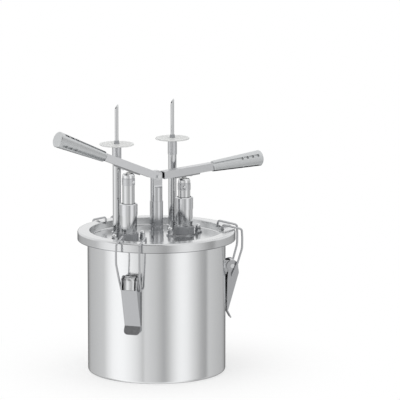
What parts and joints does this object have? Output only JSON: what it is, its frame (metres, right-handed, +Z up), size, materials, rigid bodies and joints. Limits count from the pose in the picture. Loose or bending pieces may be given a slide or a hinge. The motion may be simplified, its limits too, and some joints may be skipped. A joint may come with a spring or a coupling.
{
  "type": "donut filler machine",
  "caption": "Lidded steel pot with two lever pumps side by side, each feeding its own upright filling needle above a round rest disc, closed by swinging wire-bail latches.",
  "frame": {"origin": "centre of the pot's flat bottom, on the surface it stands on", "axes": "+Z up along the pot's axis, +X along the right-hand lever, -Y towards the user's side of the levers, the filling needles on the +Y side"},
  "size_m": [0.3526, 0.2405, 0.39],
  "materials": {
    "pot_steel": "polished",
    "lid_steel": "satin, finely brushed",
    "bright_steel": "polished",
    "satin_steel": "satin",
    "grey_steel": "matte bead-blasted",
    "spring_steel": "drawn wire",
    "handle_aluminium": "satin",
    "collar_plastic": "fine-grooved matte",
    "pad_plastic": "matte",
    "nut_plastic": "matte",
    "disc_plastic": "translucent white",
    "seal_plastic": "plain white",
    "gasket_rubber": "smooth white",
    "seal_rubber": "smooth black"
  },
  "bodies": {
    "pot": {"pot": "pot_steel", "lid": "lid_steel", "lid_gasket": "gasket_rubber", "post": "satin_steel", "post_nut": "satin_steel", "pivot_pin": "bright_steel", "pump_flanges": "satin_steel", "flange_studs": "satin_steel", "washers": "satin_steel", "cap_nuts": "bright_steel", "pump_collars": "collar_plastic", "cylinder_left": "bright_steel", "cylinder_right": "bright_steel", "gland_caps": "bright_steel", "gland_seals": "seal_plastic", "return_spring_left": "spring_steel", "return_spring_right": "spring_steel", "pump_foot_left": "satin_steel", "pump_foot_right": "satin_steel", "inlet_seats": "satin_steel", "riser_bosses": "satin_steel", "riser_left": "bright_steel", "riser_right": "bright_steel", "disc_sleeves": "grey_steel", "rest_disc_left": "disc_plastic", "rest_disc_right": "disc_plastic", "cone_nuts": "nut_plastic", "needles": "bright_steel", "latch_brackets": "satin_steel", "latch_pins": "bright_steel"},
    "lever_left": {"lever_left": "satin_steel", "handle_left": "handle_aluminium", "wear_pad_left": "pad_plastic", "pad_screw_left": "satin_steel"},
    "plunger_left": {"plunger_rod_left": "bright_steel", "plunger_head_left": "grey_steel", "contact_button_left": "seal_plastic", "cross_pin_left": "bright_steel", "piston_seals_left": "seal_rubber"},
    "inlet_ball_left": {"inlet_ball_left": "bright_steel"},
    "outlet_ball_left": {"outlet_ball_left": "bright_steel"},
    "lever_right": {"lever_right": "satin_steel", "handle_right": "handle_aluminium", "wear_pad_right": "pad_plastic", "pad_screw_right": "satin_steel"},
    "plunger_right": {"plunger_rod_right": "bright_steel", "plunger_head_right": "grey_steel", "contact_button_right": "seal_plastic", "cross_pin_right": "bright_steel", "piston_seals_right": "seal_rubber"},
    "inlet_ball_right": {"inlet_ball_right": "bright_steel"},
    "outlet_ball_right": {"outlet_ball_right": "bright_steel"},
    "latch_front": {"latch_lever_front": "satin_steel"},
    "bail_front": {"bail_front": "bright_steel"},
    "latch_right": {"latch_lever_right": "satin_steel"},
    "bail_right": {"bail_right": "bright_steel"},
    "latch_back": {"latch_lever_back": "satin_steel"},
    "bail_back": {"bail_back": "bright_steel"}
  },
  "joints": [
    {"name": "lever_left_swing", "type": "hinge", "parent": "pot", "child": "lever_left", "pos_m": [0, 0, 0.2853], "axis": [0, -1, 0], "range_deg": [0, 30.5]},
    {"name": "plunger_left_slide", "type": "slide", "parent": "pot", "child": "plunger_left", "axis": [0, 0, -1], "range_m": [0, 0.0257], "stiffness_N_per_m": 560, "springref_m": -0.03, "deforming": ["return_spring_left"]},
    {"name": "inlet_ball_left_lift", "type": "slide", "parent": "pot", "child": "inlet_ball_left", "axis": [0, 0, 1], "range_m": [0, 0.0025]},
    {"name": "outlet_ball_left_lift", "type": "slide", "parent": "pot", "child": "outlet_ball_left", "axis": [0, 0, 1], "range_m": [0, 0.0025]},
    {"name": "lever_right_swing", "type": "hinge", "parent": "pot", "child": "lever_right", "pos_m": [0, 0, 0.2853], "axis": [0, 1, 0], "range_deg": [-19.5, 11]},
    {"name": "plunger_right_slide", "type": "slide", "parent": "pot", "child": "plunger_right", "axis": [0, 0, -1], "range_m": [-0.0165, 0.0094], "stiffness_N_per_m": 560, "springref_m": -0.0464, "deforming": ["return_spring_right"]},
    {"name": "inlet_ball_right_lift", "type": "slide", "parent": "pot", "child": "inlet_ball_right", "axis": [0, 0, 1], "range_m": [0, 0.0025]},
    {"name": "outlet_ball_right_lift", "type": "slide", "parent": "pot", "child": "outlet_ball_right", "axis": [0, 0, 1], "range_m": [0, 0.0025]},
    {"name": "latch_front_swing", "type": "hinge", "parent": "pot", "child": "latch_front", "pos_m": [-0.08727, -0.06696, 0.151], "axis": [-0.6088, 0.7934, 0], "range_deg": [0, 120]},
    {"name": "bail_front_swing", "type": "hinge", "parent": "latch_front", "child": "bail_front", "pos_m": [-0.08648, -0.06635, 0.1375], "axis": [-0.6088, 0.7934, 0], "range_deg": [-96, 0]},
    {"name": "latch_right_swing", "type": "hinge", "parent": "pot", "child": "latch_right", "pos_m": [0.10163, -0.0421, 0.151], "axis": [-0.3827, -0.9239, 0], "range_deg": [0, 120]},
    {"name": "bail_right_swing", "type": "hinge", "parent": "latch_right", "child": "bail_right", "pos_m": [0.1007, -0.04171, 0.1375], "axis": [-0.3827, -0.9239, 0], "range_deg": [-96, 0]},
    {"name": "latch_back_swing", "type": "hinge", "parent": "pot", "child": "latch_back", "pos_m": [-0.01436, 0.10906, 0.151], "axis": [0.9914, 0.1305, 0], "range_deg": [0, 120]},
    {"name": "bail_back_swing", "type": "hinge", "parent": "latch_back", "child": "bail_back", "pos_m": [-0.01423, 0.10807, 0.1375], "axis": [0.9914, 0.1305, 0], "range_deg": [-96, 0]}
  ],
  "couplings": [
    {"joint": "plunger_left_slide", "follows": "lever_left_swing", "m_per_rad": 0.0481},
    {"joint": "plunger_right_slide", "follows": "lever_right_swing", "m_per_rad": 0.0481},
    {"joint": "bail_front_swing", "follows": "latch_front_swing", "ratio": -0.8},
    {"joint": "bail_right_swing", "follows": "latch_right_swing", "ratio": -0.8},
    {"joint": "bail_back_swing", "follows": "latch_back_swing", "ratio": -0.8}
  ]
}
